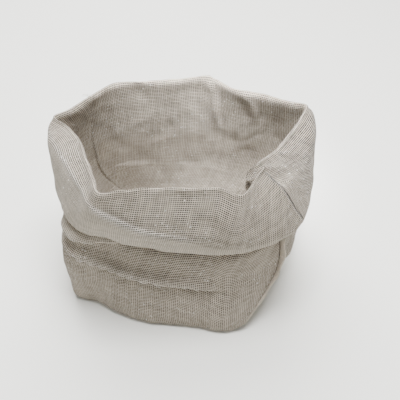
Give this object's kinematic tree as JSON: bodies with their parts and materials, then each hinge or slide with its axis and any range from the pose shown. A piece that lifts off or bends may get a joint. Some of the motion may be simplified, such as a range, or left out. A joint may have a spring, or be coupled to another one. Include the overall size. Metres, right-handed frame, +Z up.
{
  "type": "produce bag",
  "caption": "Open linen gauze bag standing on its folded bottom, its top turned down outside as a deep cuff with a turned-up hem, side seams showing their overlocked edges.",
  "frame": {"origin": "on the surface that the bag stands on, under the middle of its bounding box", "axes": "+Z up; -Y towards the side with the drooping front of the cuff; +X towards the side with the tucked right seam, along the bag's longer side"},
  "size_m": [0.205, 0.1634, 0.1363],
  "materials": {
    "linen": "open plain weave linen gauze, undyed warm grey, matt",
    "overlock": "overlocked edge of four layers of the same linen, undyed thread, matt"
  },
  "bodies": {
    "root": {"front_panel": "linen", "back_panel": "linen", "left_seam": "overlock", "right_seam": "overlock"}
  },
  "joints": []
}
